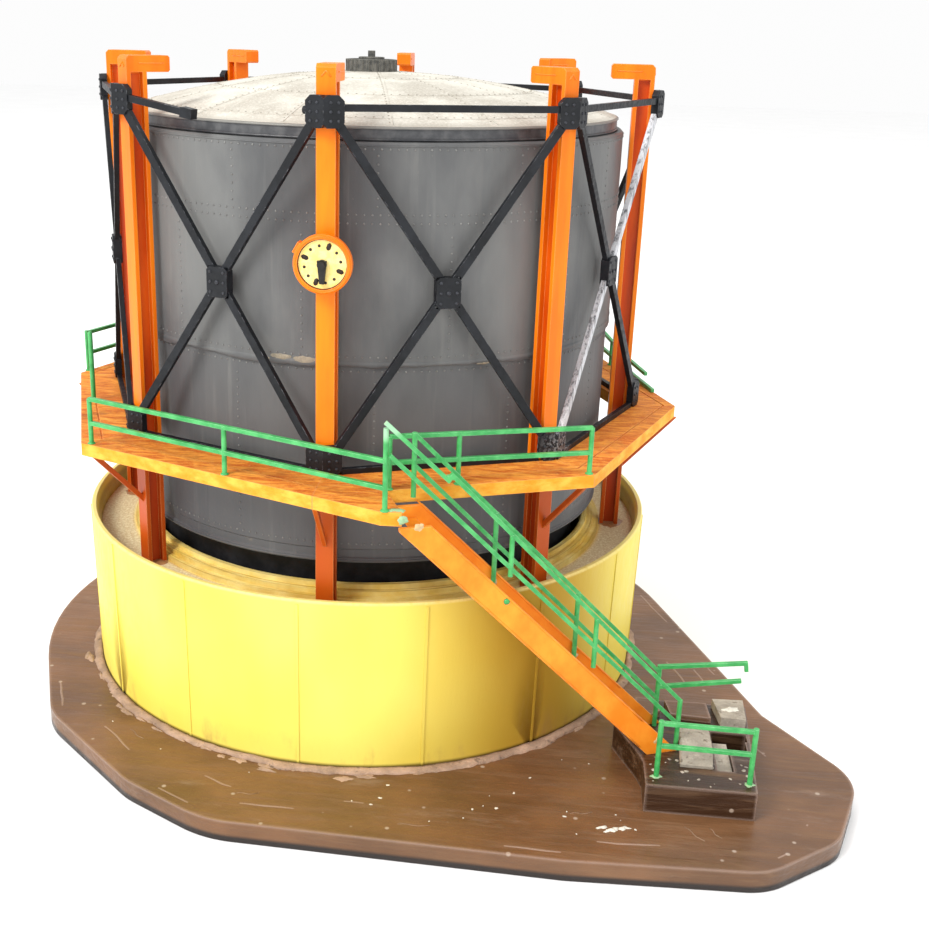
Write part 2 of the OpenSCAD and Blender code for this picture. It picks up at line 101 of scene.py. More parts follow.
# distances that no single node's box gives: bracing plane and rail line from the axis, stair's top corner
WING_OUT = 65.3
RAIL_A = 75.22
STAIR = Vector((19.8, -89.2, 0))
STAIR_TOP = 78.4
STAIR_TOP_INNER = 80.2
STAIR_FACE = -0.47
CROWN_SEAT_R = 5.45
LONE_POST = (-67.6, -24.7)
LANDING_POST = (15.9, -88.2)
UP = Vector((0, 0, 1))
RIVET_SINK = 0.03


def on_side(k, x, y, z):
    """Point of side k: x along the side, y outwards negative, z up."""
    return Matrix.Rotation(k * 2 * HALF + HALF, 3, "Z") @ Vector((x, y, z))


def on_column(k, x, y, z):
    return Matrix.Rotation(k * 2 * HALF, 3, "Z") @ Vector((x, y, z))


def on_stair(u, y, z):
    """Point of the stair: u down the stair in plan, y towards the basin."""
    return STAIR + Matrix.Rotation(HALF, 3, "Z") @ Vector((u, y, z))


# ---------- node materials ----------

class Paint:
    """Builds one node material around a Principled shader."""

    def __init__(self, name, specular=0.4, coat=0.0):
        self.mat = bpy.data.materials.new(name)
        self.mat.use_nodes = True
        self.tree = self.mat.node_tree
        self.bsdf = self.tree.nodes["Principled BSDF"]
        self.bsdf.inputs["Specular IOR Level"].default_value = specular
        self.bsdf.inputs["Coat Weight"].default_value = coat
        self.pos = self.node("ShaderNodeTexCoord").outputs["Object"]
        self.geo = self.node("ShaderNodeNewGeometry")

    def node(self, kind, inputs=None, **attrs):
        made = self.tree.nodes.new(kind)
        for key, value in attrs.items():
            setattr(made, key, value)
        for key, value in (inputs or {}).items():
            self.put(made.inputs[key], value)
        return made

    def put(self, socket, value):
        if isinstance(value, bpy.types.NodeSocket):
            self.tree.links.new(value, socket)
        elif isinstance(value, tuple) and len(value) == 3 and socket.type == "RGBA":
            socket.default_value = (*value, 1)
        else:
            socket.default_value = value

    def maths(self, op, a, b=0.0):
        return self.node("ShaderNodeMath", {0: a, 1: b}, operation=op).outputs[0]

    def noise(self, size, detail=4.0, rough=0.55, stretch=(1, 1, 1), shift=0.0, wave=0.0):
        """Noise whose lumps are about size mm across; stretch makes them longer."""
        scale = tuple(1 / s for s in stretch)
        moved = self.node("ShaderNodeMapping", {"Vector": self.pos, "Location": (shift,) * 3,
                                                "Scale": scale})
        return self.node("ShaderNodeTexNoise", {
            "Vector": moved.outputs[0], "Scale": 1 / (size * MM), "Detail": detail,
            "Roughness": rough, "Distortion": wave}).outputs["Fac"]

    def step(self, value, start, end, a=0.0, b=1.0):
        return self.node("ShaderNodeMapRange", {
            "Value": value, "From Min": start, "From Max": end, "To Min": a, "To Max": b},
            interpolation_type="SMOOTHSTEP").outputs[0]

    def axis(self, letter, source=None):
        split = self.node("ShaderNodeSeparateXYZ", {0: source or self.pos})
        return split.outputs[letter]

    def height(self, start, end):
        """0 below start mm, 1 above end mm."""
        return self.step(self.axis("Z"), start * MM, end * MM)

    def up(self):
        """1 where the surface faces up."""
        return self.step(self.axis("Z", self.geo.outputs["Normal"]), 0.4, 0.8)

    def radius(self):
        flat = self.node("ShaderNodeVectorMath", {0: self.pos, 1: (1, 1, 0)}, operation="MULTIPLY")
        return self.node("ShaderNodeVectorMath", {0: flat.outputs[0]}, operation="LENGTH").outputs[1]

    def angle(self):
        return self.maths("ARCTAN2", self.axis("Y"), self.axis("X"))

    def near(self, x, y, z, reach, soft=0.5):
        """1 at a point, 0 further than reach mm from it."""
        gap = self.node("ShaderNodeVectorMath", {0: self.pos, 1: tuple(mm(x, y, z))},
                        operation="DISTANCE").outputs["Value"]
        return self.step(gap, reach * MM, reach * MM * (1 - soft))

    def mix(self, mask, a, b):
        made = self.node("ShaderNodeMix", data_type="RGBA")
        self.put(made.inputs[0], mask)
        self.put(made.inputs[6], a)
        self.put(made.inputs[7], b)
        return made.outputs[2]

    def edges(self, size):
        """1 along outside corners, from the rounded normal."""
        round_n = self.node("ShaderNodeBevel", {"Radius": size * MM}, samples=4).outputs[0]
        dot = self.node("ShaderNodeVectorMath", {0: round_n, 1: self.geo.outputs["Normal"]},
                        operation="DOT_PRODUCT").outputs["Value"]
        return self.step(dot, 0.985, 0.86)

    def done(self, colour, roughness, bumps=(), soft_edge=0.0):
        """bumps are (height, depth in mm); soft_edge rounds the corners by that many mm."""
        self.put(self.bsdf.inputs["Base Color"], colour)
        self.put(self.bsdf.inputs["Roughness"], roughness)
        normal = None
        if soft_edge:
            normal = self.node("ShaderNodeBevel", {"Radius": soft_edge * MM}, samples=4).outputs[0]
        for tall, depth in bumps:
            ins = {"Height": tall, "Distance": depth * MM, "Strength": 1.0}
            if normal is not None:
                ins["Normal"] = normal
            normal = self.node("ShaderNodeBump", ins).outputs[0]
        if normal is not None:
            self.tree.links.new(normal, self.bsdf.inputs["Normal"])
        return self.mat


def board_paint(name="board_paint", base=(0.112, 0.052, 0.022)):
    p = Paint(name, 0.4, 0.1)
    strokes = p.noise(1.6, 5, 0.6, (14, 1.4, 1), 3.1, 0.6)
    blotch = p.noise(26, 5, 0.6, (1.6, 1, 1), 8.0)
    fine = p.noise(0.5, 3, 0.7)
    tone = p.mix(p.step(blotch, 0.35, 0.68), base, tuple(c * 1.75 for c in base))
    tone = p.mix(p.step(strokes, 0.46, 0.75, 0, 0.6), tone, (0.20, 0.110, 0.055))
    grey = p.noise(7, 6, 0.7, (3, 1, 1), 1.3)
    tone = p.mix(p.step(grey, 0.56, 0.78, 0, 0.5), tone, (0.30, 0.21, 0.155))
    speck = p.node("ShaderNodeTexVoronoi", {"Vector": p.pos, "Scale": 150.0}).outputs["Distance"]
    tone = p.mix(p.step(speck, 0.10, 0.05, 0, 0.8), tone, (0.42, 0.33, 0.26))
    # lighter pinkish grey along the rounded edges: a painted highlight
    tone = p.mix(p.maths("MULTIPLY", p.edges(1.2), 0.5), tone, (0.46, 0.33, 0.27))
    # the lowest 2 mm of the board's side turn almost black: painted shade under its rounded edge
    under = p.height(0.9, 2.0)
    tone = p.mix(under, (0.016, 0.010, 0.008), tone)
    rough = p.step(strokes, 0.3, 0.8, 0.30, 0.62)
    return p.done(tone, rough, [(strokes, 0.28), (blotch, 0.5), (fine, 0.05)])


def stone_paint(name, base):
    p = Paint(name, 0.25)
    grit = p.noise(0.55, 4, 0.75)
    patch = p.noise(5, 5, 0.65, shift=4.0)
    tone = p.mix(p.step(patch, 0.35, 0.7), tuple(c * 0.6 for c in base), base)
    tone = p.mix(p.step(grit, 0.55, 0.78, 0, 0.7), tone, tuple(min(1, c * 1.5) for c in base))
    tone = p.mix(p.step(p.noise(2.4, 3, 0.6, shift=9), 0.60, 0.72, 0, 0.7), tone, (0.10, 0.07, 0.05))
    return p.done(tone, p.step(grit, 0.3, 0.7, 0.65, 0.9), [(grit, 0.16), (patch, 0.5)], 0.25)


def basin_paint():
    p = Paint("basin_paint", 0.18, 0.0)
    warm = p.noise(45, 3, 0.5, (1, 1, 1.6), 2.0)
    rough = p.noise(1.2, 4, 0.6, (1, 1, 3))
    tone = p.mix(p.step(warm, 0.35, 0.7), (0.88, 0.70, 0.10), (0.93, 0.80, 0.17))
    # the front right of the basin turns golden brown: painted shade on the side away from the key light
    right = p.step(p.axis("X"), 5 * MM, 62 * MM)
    front = p.step(p.axis("Y"), -20 * MM, -66 * MM)
    tone = p.mix(p.maths("MULTIPLY", right, front), tone, (0.38, 0.165, 0.001))
    stain = p.maths("MULTIPLY", p.step(p.noise(9, 5, 0.65, (1, 1, 2.6), 5), 0.50, 0.72),
                    p.step(p.axis("Z"), 16 * MM, 5 * MM))
    tone = p.mix(p.maths("MULTIPLY", stain, 0.7), tone, (0.42, 0.24, 0.08))
    lip = p.maths("MULTIPLY", p.height(RIM_Z - 0.8, RIM_Z - 0.2), p.step(rough, 0.3, 0.6, 0.5, 1))
    tone = p.mix(p.maths("MULTIPLY", lip, 0.6), tone, (0.90, 0.76, 0.33))
    # the inside of the wall below the rim is darker: painted shade inside the basin
    inner = p.maths("MULTIPLY", p.step(p.radius(), (BASIN_R - 0.6) * MM, (BASIN_R - 1.2) * MM),
                    p.step(p.axis("Z"), (RIM_Z - 0.4) * MM, (RIM_Z - 2) * MM))
    tone = p.mix(p.maths("MULTIPLY", inner, 0.8), tone, (0.34, 0.24, 0.07))
    # a near-black band where the wall meets the board: painted contact shadow
    foot = p.step(p.axis("Z"), (BOARD_Z + 1.6) * MM, (BOARD_Z + 0.6) * MM)
    tone = p.mix(p.maths("MULTIPLY", foot, 0.85), tone, (0.06, 0.03, 0.01))
    tone = p.mix(p.step(p.noise(0.9, 3, 0.6, shift=7), 0.70, 0.80, 0, 0.4), tone, (0.56, 0.38, 0.08))
    return p.done(tone, p.step(rough, 0.3, 0.7, 0.36, 0.52), [(rough, 0.05), (warm, 0.6)], 0.2)


def basin_inside_paint():
    p = Paint("basin_inside_paint", 0.3)
    grit = p.noise(0.6, 4, 0.75)
    rings = p.node("ShaderNodeTexNoise", {
        "Vector": p.node("ShaderNodeCombineXYZ", {0: p.maths("MULTIPLY", p.radius(), 2.2),
                                                  1: p.maths("MULTIPLY", p.angle(), 0.004)}).outputs[0],
        "Scale": 700.0, "Detail": 3.0}).outputs["Fac"]
    tone = p.mix(p.step(p.noise(14, 5, 0.65), 0.35, 0.65), (0.80, 0.58, 0.11), (0.92, 0.78, 0.30))
    tone = p.mix(p.step(rings, 0.42, 0.68, 0, 0.8), tone, (0.48, 0.28, 0.03))
    outer = p.step(p.radius(), 62.5 * MM, 64 * MM)
    floor = p.mix(p.step(grit, 0.4, 0.7), (0.70, 0.56, 0.30), (0.95, 0.88, 0.62))
    tone = p.mix(outer, tone, floor)
    return p.done(tone, 0.7, [(grit, 0.12), (rings, 0.12)])


def column_paint():
    p = Paint("column_paint", 0.25, 0.0)
    flow = p.noise(5, 4, 0.55, (1, 1, 7))
    bright = p.mix(p.step(flow, 0.35, 0.7), (0.86, 0.165, 0.001), (0.95, 0.235, 0.003))
    # deep is the darker red of the channel between the flanges: painted shade in the channel's recess
    deep = p.mix(p.step(flow, 0.35, 0.7), (0.52, 0.052, 0.001), (0.72, 0.110, 0.001))
    r = p.radius()
    channel = p.maths("MULTIPLY", p.step(r, 64.0 * MM, 64.25 * MM), p.step(r, 66.95 * MM, 66.8 * MM))
    shaft = p.step(p.axis("Z"), (COLUMN_TOP - 3.6) * MM, (COLUMN_TOP - 3.9) * MM)
    tone = p.mix(p.maths("MULTIPLY", channel, shaft), bright, deep)
    # below the deck the columns darken: painted shade under the deck
    under = p.step(p.axis("Z"), (DECK_Z + 2) * MM, (DECK_LOW - 4) * MM, 0, 0.75)
    tone = p.mix(under, tone, (0.36, 0.035, 0.004))
    # lighter orange along the corners: a painted highlight, partly paint wear
    tone = p.mix(p.maths("MULTIPLY", p.edges(0.3), 0.5), tone, (0.95, 0.48, 0.16))
    dirt = p.step(p.noise(2.2, 5, 0.7, (1, 1, 2), 6), 0.62, 0.80, 0, 0.5)
    tone = p.mix(dirt, tone, (0.30, 0.07, 0.03))
    return p.done(tone, p.step(flow, 0.3, 0.7, 0.30, 0.46), [(flow, 0.12), (p.noise(0.8), 0.03)], 0.22)


def deck_paint():
    p = Paint("deck_paint", 0.3)
    grit = p.noise(0.7, 5, 0.8)
    swirl = p.noise(1.6, 5, 0.65, (5, 1.2, 1), 2.0, 1.2)
    top = p.mix(p.step(swirl, 0.35, 0.68), (0.60, 0.120, 0.006), (0.96, 0.385, 0.050))
    top = p.mix(p.step(grit, 0.52, 0.74, 0, 0.7), top, (0.96, 0.58, 0.20))
    top = p.mix(p.step(p.noise(12, 4, 0.6, shift=5), 0.50, 0.72, 0, 0.55), top, (0.26, 0.07, 0.015))
    side = p.mix(p.step(p.noise(6, 4, 0.6, (1, 1, 0.5), 3), 0.35, 0.7), (0.88, 0.32, 0.015),
                 (0.96, 0.52, 0.07))
    # faces pointing down turn dark red: painted shade under the deck
    down = p.step(p.axis("Z", p.geo.outputs["Normal"]), -0.4, -0.8)
    side = p.mix(down, side, (0.40, 0.075, 0.010))
    tone = p.mix(p.up(), side, top)
    # lighter edges: a painted highlight along the corners, partly paint wear
    tone = p.mix(p.maths("MULTIPLY", p.edges(0.35), 0.6), tone, (0.85, 0.36, 0.15))
    return p.done(tone, p.step(grit, 0.3, 0.7, 0.55, 0.85), [(grit, 0.18), (swirl, 0.3)], 0.25)


def black_paint(name="black_paint", worn=0.0):
    p = Paint(name, 0.3, 0.0)
    lump = p.noise(1.2, 4, 0.65)
    tone = p.mix(p.step(p.noise(6, 4, 0.6), 0.35, 0.7), (0.003, 0.004, 0.006), (0.010, 0.012, 0.016))
    # grey on patches of the corners: rubbed paint, partly a painted highlight
    rub_and_highlight = p.step(p.noise(1.5, 5, 0.7, shift=3), 0.50, 0.66)
    tone = p.mix(p.maths("MULTIPLY", p.maths("MULTIPLY", p.edges(0.22), rub_and_highlight), 0.8), tone,
                 (0.30, 0.31, 0.34))
    # one rising brace, between the columns right of the front, is rubbed bare
    if worn:
        line = p.step(p.noise(1.0, 5, 0.75, (1, 1, 6), 1.0), 0.36, 0.54, 0.25, 1)
        place = p.maths("MULTIPLY", p.step(p.axis("X"), 47 * MM, 48 * MM),
                        p.step(p.axis("Y"), -1 * MM, -2 * MM))
        tone = p.mix(p.maths("MULTIPLY", p.maths("MULTIPLY", place, line), worn), tone,
                     (0.66, 0.67, 0.70))
    mottled = p.maths("MULTIPLY", p.near(*on_column(1, 2, -66, DECK_Z + 3), 7.5),
                      p.step(p.noise(0.7, 4, 0.7, shift=2), 0.48, 0.56))
    tone = p.mix(p.maths("MULTIPLY", mottled, 0.75), tone, (0.34, 0.36, 0.38))
    return p.done(tone, p.step(lump, 0.3, 0.7, 0.34, 0.60), [(lump, 0.07)], 0.2)


def stair_paint():
    p = Paint("stair_paint", 0.25, 0.0)
    flow = p.noise(4, 4, 0.6, (4, 1, 3))
    tone = p.mix(p.step(flow, 0.35, 0.7), (0.86, 0.225, 0.010), (0.95, 0.345, 0.028))
    # faces that look back towards the basin are darker: painted shade in the channel between the
    # stringers
    inner = p.step(p.axis("Y", p.geo.outputs["Normal"]), 0.2, 0.6, 0, 0.8)
    tone = p.mix(inner, tone, (0.40, 0.065, 0.008))
    # lighter orange on patches of the corners: rubbed paint, partly a painted highlight
    rub_and_highlight = p.maths("MULTIPLY", p.edges(0.3), p.step(p.noise(1.5, 4, 0.7), 0.40, 0.6))
    tone = p.mix(p.maths("MULTIPLY", rub_and_highlight, 0.8), tone, (0.95, 0.50, 0.26))
    tone = p.mix(p.step(p.noise(2.5, 5, 0.7, shift=5), 0.66, 0.80, 0, 0.5), tone, (0.45, 0.10, 0.03))
    return p.done(tone, p.step(flow, 0.3, 0.7, 0.36, 0.52), [(flow, 0.10)], 0.2)


def green_paint():
    p = Paint("green_paint", 0.4, 0.1)
    flow = p.noise(3, 4, 0.6)
    tone = p.mix(p.step(flow, 0.35, 0.7), (0.028, 0.310, 0.070), (0.080, 0.460, 0.130))
    # pale mint on patches of the corners: a painted highlight
    light = p.maths("MULTIPLY", p.edges(0.25), p.step(p.noise(2.2, 4, 0.7, shift=3), 0.34, 0.6))
    tone = p.mix(p.maths("MULTIPLY", light, 0.7), tone, (0.38, 0.80, 0.44))
    pale = p.near(*LANDING_POST, DECK_Z + 18.5, 4.5)
    tone = p.mix(p.maths("MULTIPLY", pale, 0.55), tone, (0.55, 0.82, 0.60))
    return p.done(tone, p.step(flow, 0.3, 0.7, 0.28, 0.45), [(p.noise(1.0, 3), 0.05)], 0.22)


def bell_paint():
    p = Paint("bell_paint", 0.35, 0.0)
    cloud = p.noise(30, 5, 0.6, (1, 1, 2.2), 1.0)
    streak = p.noise(2.2, 4, 0.6, (1, 1, 16), 4.0)
    fine = p.noise(0.7, 3, 0.7)
    tone = p.mix(p.step(cloud, 0.32, 0.70), (0.070, 0.074, 0.079), (0.160, 0.164, 0.161))
    lower = p.step(p.axis("Z"), (LAP_Z + 0.3) * MM, (LAP_Z - 0.2) * MM, 0, 0.55)
    tone = p.mix(lower, tone, (0.078, 0.080, 0.086))
    tone = p.mix(p.step(streak, 0.52, 0.78, 0, 0.35), tone, (0.20, 0.20, 0.19))
    # plates around the bell differ a little in tone
    plates = p.maths("MULTIPLY", p.angle(), 12 / TAU)
    odd = p.maths("FRACT", p.maths("MULTIPLY", p.maths("FLOOR", plates), 0.37))
    tone = p.mix(p.step(odd, 0.45, 0.55, 0, 0.14), tone, (0.17, 0.165, 0.16))
    dusty = p.maths("MULTIPLY", p.step(p.noise(3.5, 5, 0.7, shift=6), 0.60, 0.74),
                    p.step(p.axis("Z"), (BELL_Z + 10) * MM, (BELL_Z + 1) * MM))
    tone = p.mix(p.maths("MULTIPLY", dusty, 0.5), tone, (0.26, 0.22, 0.16))
    tone = p.mix(p.step(p.noise(1.2, 3, 0.6, shift=2), 0.72, 0.80, 0, 0.6), tone, (0.24, 0.22, 0.19))
    return p.done(tone, p.step(cloud, 0.3, 0.7, 0.40, 0.56),
                  [(streak, 0.10), (fine, 0.03), (cloud, 0.5)], 0.15)


def band_paint():
    p = Paint("band_paint", 0.5, 0.1)
    flow = p.noise(3, 4, 0.6, (1, 1, 1))
    tone = p.mix(p.step(flow, 0.35, 0.7), (0.040, 0.042, 0.048), (0.095, 0.097, 0.100))
    top = p.step(p.axis("Z"), (BAND_Z - 0.7) * MM, (BAND_Z - 0.2) * MM, 0, 0.7)
    tone = p.mix(top, tone, (0.26, 0.25, 0.22))
    return p.done(tone, 0.46, [(flow, 0.08)], 0.25)


def dark_paint():
    p = Paint("dark_paint", 0.3)
    flow = p.noise(4, 4, 0.6)
    tone = p.mix(p.step(flow, 0.35, 0.7), (0.008, 0.008, 0.009), (0.022, 0.022, 0.024))
    return p.done(tone, 0.5, [(flow, 0.1)])


def roof_paint():
    p = Paint("roof_paint", 0.25)
    grit = p.noise(0.55, 5, 0.8)
    patch = p.noise(16, 5, 0.65, shift=3)
    tone = p.mix(p.step(patch, 0.35, 0.68), (0.42, 0.39, 0.33), (0.62, 0.60, 0.53))
    tone = p.mix(p.step(grit, 0.45, 0.72, 0, 0.75), tone, (0.78, 0.76, 0.70))
    tone = p.mix(p.step(p.noise(0.8, 4, 0.7, shift=8), 0.60, 0.74, 0, 0.6), tone, (0.24, 0.22, 0.18))
    rim = p.step(p.radius(), (BAND_R - 3) * MM, (BAND_R - 0.5) * MM, 0, 0.45)
    tone = p.mix(rim, tone, (0.34, 0.31, 0.26))
    return p.done(tone, p.step(grit, 0.3, 0.7, 0.7, 0.92), [(grit, 0.14), (patch, 0.4)], 0.2)


def crown_paint():
    p = Paint("crown_paint", 0.45)
    flow = p.noise(1.4, 4, 0.65)
    tone = p.mix(p.step(flow, 0.35, 0.7), (0.045, 0.047, 0.044), (0.13, 0.125, 0.11))
    # lighter edges: a painted highlight along the corners, partly wear
    tone = p.mix(p.maths("MULTIPLY", p.edges(0.2), 0.6), tone, (0.34, 0.32, 0.27))
    return p.done(tone, 0.5, [(flow, 0.08)], 0.15)


def paper_paint():
    p = Paint("paper_paint", 0.35)
    flow = p.noise(1.6, 4, 0.6)
    tone = p.mix(p.step(flow, 0.35, 0.7), (0.90, 0.68, 0.20), (0.95, 0.80, 0.34))
    tone = p.mix(p.step(p.noise(0.6, 3, 0.7, shift=4), 0.64, 0.76, 0, 0.5), tone, (0.60, 0.38, 0.12))
    return p.done(tone, 0.55, [(flow, 0.05)])


def glue(name, base):
    p = Paint(name, 0.5, 0.2)
    flow = p.noise(0.9, 4, 0.65)
    tone = p.mix(p.step(flow, 0.35, 0.7), tuple(c * 0.72 for c in base), base)
    return p.done(tone, p.step(flow, 0.3, 0.7, 0.25, 0.55), [(flow, 0.12)])


def plain_dark(name, base, rough=0.5):
    p = Paint(name, 0.35)
    flow = p.noise(0.8, 3, 0.6)
    tone = p.mix(p.step(flow, 0.4, 0.7), base, tuple(c * 1.8 for c in base))
    return p.done(tone, rough, [(flow, 0.03)])


BOARD = board_paint()
STONE = stone_paint("stone_paint", (0.50, 0.44, 0.36))
PLASTER = stone_paint("plaster_paint", (0.50, 0.335, 0.235))
BLACK = black_paint()
COLUMN = column_paint()
BELL = bell_paint()
GREEN = green_paint()
STAIRS = stair_paint()
ROOF = roof_paint()
RIVET_GREY = plain_dark("rivet_grey", (0.145, 0.145, 0.140), 0.5)
RIVET_BLACK = plain_dark("rivet_black", (0.020, 0.022, 0.028), 0.40)
GLUE_PALE = glue("glue_pale", (0.34, 0.56, 0.30))
GLUE_TAN = glue("glue_tan", (0.33, 0.28, 0.20))
GLUE_WHITE = glue("glue_white", (0.80, 0.76, 0.66))

PAINT_OF_SLOT = {
    "board_brown": BOARD, "stone": STONE, "basin_cream": basin_paint(),
    "basin_inside": basin_inside_paint(), "mast_metal": dark_paint(), "column_orange": COLUMN,
    "deck_rust": deck_paint(), "brace_black": BLACK, "stair_orange": STAIRS, "rail_green": GREEN,
    "dial_paper": paper_paint(), "pointer_black": plain_dark("pointer_paint", (0.012, 0.010, 0.009)),
    "bell_grey": BELL, "bell_dark": dark_paint(), "roof_cream": ROOF, "crown_grey": crown_paint(),
}
BAND = band_paint()
WORN = black_paint("worn_black", 0.9)
BLOCK = board_paint("block_paint", (0.028, 0.011, 0.004))
OWN_PAINT = {"rim_band": BAND, "braces_rising": WORN, "foot_block": BLOCK}
for part in frame["record"]["subparts"]:
    node = frame["nodes"].get(part["node"])
    if node is None:
        continue
    paint = OWN_PAINT.get(part["node"], PAINT_OF_SLOT[part["material_slot"]])
    if not node.material_slots:
        node.data.materials.append(paint)
    for place in node.material_slots:
        place.material = paint


# ---------- pieces in mesh code ----------

def piece(name, mesh, paint, body):
    """Turns a bmesh in millimetres into a finished piece that rides on a body."""
    bmesh.ops.recalc_face_normals(mesh, faces=mesh.faces)
    bmesh.ops.scale(mesh, vec=(MM,) * 3, verts=mesh.verts)
    data = bpy.data.meshes.new(name)
    for face in mesh.faces:
        face.smooth = True
    mesh.to_mesh(data)
    mesh.free()
    made = bpy.data.objects.new(name, data)
    bpy.context.scene.collection.objects.link(made)
    data.materials.append(paint)
    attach(made, body)
    return made


def basis(normal):
    """Two directions at right angles to a normal."""
    n = normal.normalized()
    side = Vector((0, 0, 1)).cross(n)
    if side.length < 0.01:
        side = Vector((1, 0, 0))
    side.normalize()
    return side, n.cross(side)


def dome(mesh, at, normal, r, h, sides=6):
    """One rivet head: a small dome that starts just inside the surface."""
    n = normal.normalized()
    a, b = basis(n)
    rings = []
    for size, lift in ((1.0, -RIVET_SINK), (0.9, h * 0.45), (0.55, h * 0.85)):
        rings.append([mesh.verts.new(at + n * lift + (a * math.cos(t) + b * math.sin(t)) * r * size)
                      for t in (TAU * i / sides for i in range(sides))])
    top = mesh.verts.new(at + n * h)
    for one, two in zip(rings, rings[1:]):
        for i in range(sides):
            j = (i + 1) % sides
            mesh.faces.new((one[i], one[j], two[j], two[i]))
    for i in range(sides):
        mesh.faces.new((rings[-1][i], rings[-1][(i + 1) % sides], top))
    mesh.faces.new(rings[0][::-1])


def blob(mesh, at, normal, rx, ry, h, seed, spin=0.0, rough=0.35, sides=26, rings=5):
    """Flat drop of glue or paint with an uneven edge."""
    n = normal.normalized()
    a, b = basis(n)
    a, b = a * math.cos(spin) + b * math.sin(spin), b * math.cos(spin) - a * math.sin(spin)
    last = None
    for k in range(rings):
        f = 1 - k / rings
        ring = []
        for i in range(sides):
            t = TAU * i / sides
            edge = 1 + rough * noise.noise(Vector((math.cos(t) * 1.3, math.sin(t) * 1.3, seed)))
            edge += 0.5 * rough * noise.noise(Vector((math.cos(t) * 4, math.sin(t) * 4, seed + 5)))
            lift = h * (1 - f * f) * (1 + 0.3 * noise.noise(Vector((t, f * 3, seed))))
            ring.append(mesh.verts.new(at + n * (lift - 0.02)
                                       + (a * math.cos(t) * rx + b * math.sin(t) * ry) * f * edge))
        if last:
            for i in range(sides):
                j = (i + 1) % sides
                mesh.faces.new((last[i], last[j], ring[j], ring[i]))
        last = ring
    mesh.faces.new(last)


def tube(mesh, points, r, sides=7, closed=False, flat=1.0):
    """Round bar along a list of points."""
    rings = []
    count = len(points)
    for i, here in enumerate(points):
        before = points[(i - 1) % count] if closed or i else here
        after = points[(i + 1) % count] if closed or i < count - 1 else here
        a, b = basis(after - before)
        rings.append([mesh.verts.new(here + (a * math.cos(t) + b * math.sin(t) * flat) * r)
                      for t in (TAU * k / sides for k in range(sides))])
    pairs = list(zip(rings, rings[1:])) + ([(rings[-1], rings[0])] if closed else [])
    for one, two in pairs:
        for i in range(sides):
            j = (i + 1) % sides
            mesh.faces.new((one[i], one[j], two[j], two[i]))
    if not closed:
        mesh.faces.new(rings[0][::-1])
        mesh.faces.new(rings[-1])


def plate(mesh, at, along, up, w, h, thick, corner=0.35):
    """Small bar with clipped corners, lying on a surface."""
    a, b = along.normalized(), up.normalized()
    n = a.cross(b)
    c = min(w, h) * corner
    outline = [(-w / 2 + c, -h / 2), (w / 2 - c, -h / 2), (w / 2, -h / 2 + c), (w / 2, h / 2 - c),
               (w / 2 - c, h / 2), (-w / 2 + c, h / 2), (-w / 2, h / 2 - c), (-w / 2, -h / 2 + c)]
    lower = [mesh.verts.new(at + a * x + b * y - n * 0.05) for x, y in outline]
    upper = [mesh.verts.new(at + a * x * 0.93 + b * y * 0.93 + n * thick) for x, y in outline]
    for i in range(8):
        j = (i + 1) % 8
        mesh.faces.new((lower[i], lower[j], upper[j], upper[i]))
    mesh.faces.new(upper)
    mesh.faces.new(lower[::-1])


def around(r, z, t):
    return Vector((r * math.cos(t), r * math.sin(t), z))


def outward(t):
    return Vector((math.cos(t), math.sin(t), 0))


def bell_rivets():
    """Rows of rivets along the bell's seams, around it and up it."""
    mesh = bmesh.new()
    pitch = 1.72
    size, tall = 0.25, 0.15

    def row(r, z):
        count = int(TAU * r / pitch)
        for i in range(count):
            t = TAU * i / count
            dome(mesh, around(r, z, t), outward(t), size, tall)

    def uprights(r, z1, z2, count, turn):
        for i in range(count):
            t = TAU * (i + turn) / count
            z = z1
            while z < z2:
                dome(mesh, around(r, z, t), outward(t), size, tall)
                z += pitch

    seam = LAP_Z + 31.2
    row(BELL_R, SHOULDER_Z - 1.4)
    row(BELL_R, seam + 0.9)
    row(BELL_R, seam - 0.9)
    row(BELL_R, LAP_Z + 1.7)
    row(BELL_LOW_R, LAP_Z - 1.6)
    row(BELL_LOW_R, BELL_Z + 4.6)
    uprights(BELL_R, seam + 2.6, SHOULDER_Z - 2.6, 12, 0.30)
    uprights(BELL_R, LAP_Z + 3.4, seam - 2.2, 12, 0.80)
    uprights(BELL_LOW_R, BELL_Z + 6.3, LAP_Z - 3, 12, 0.30)
    piece("bell_rivets", mesh, RIVET_GREY, "bell")


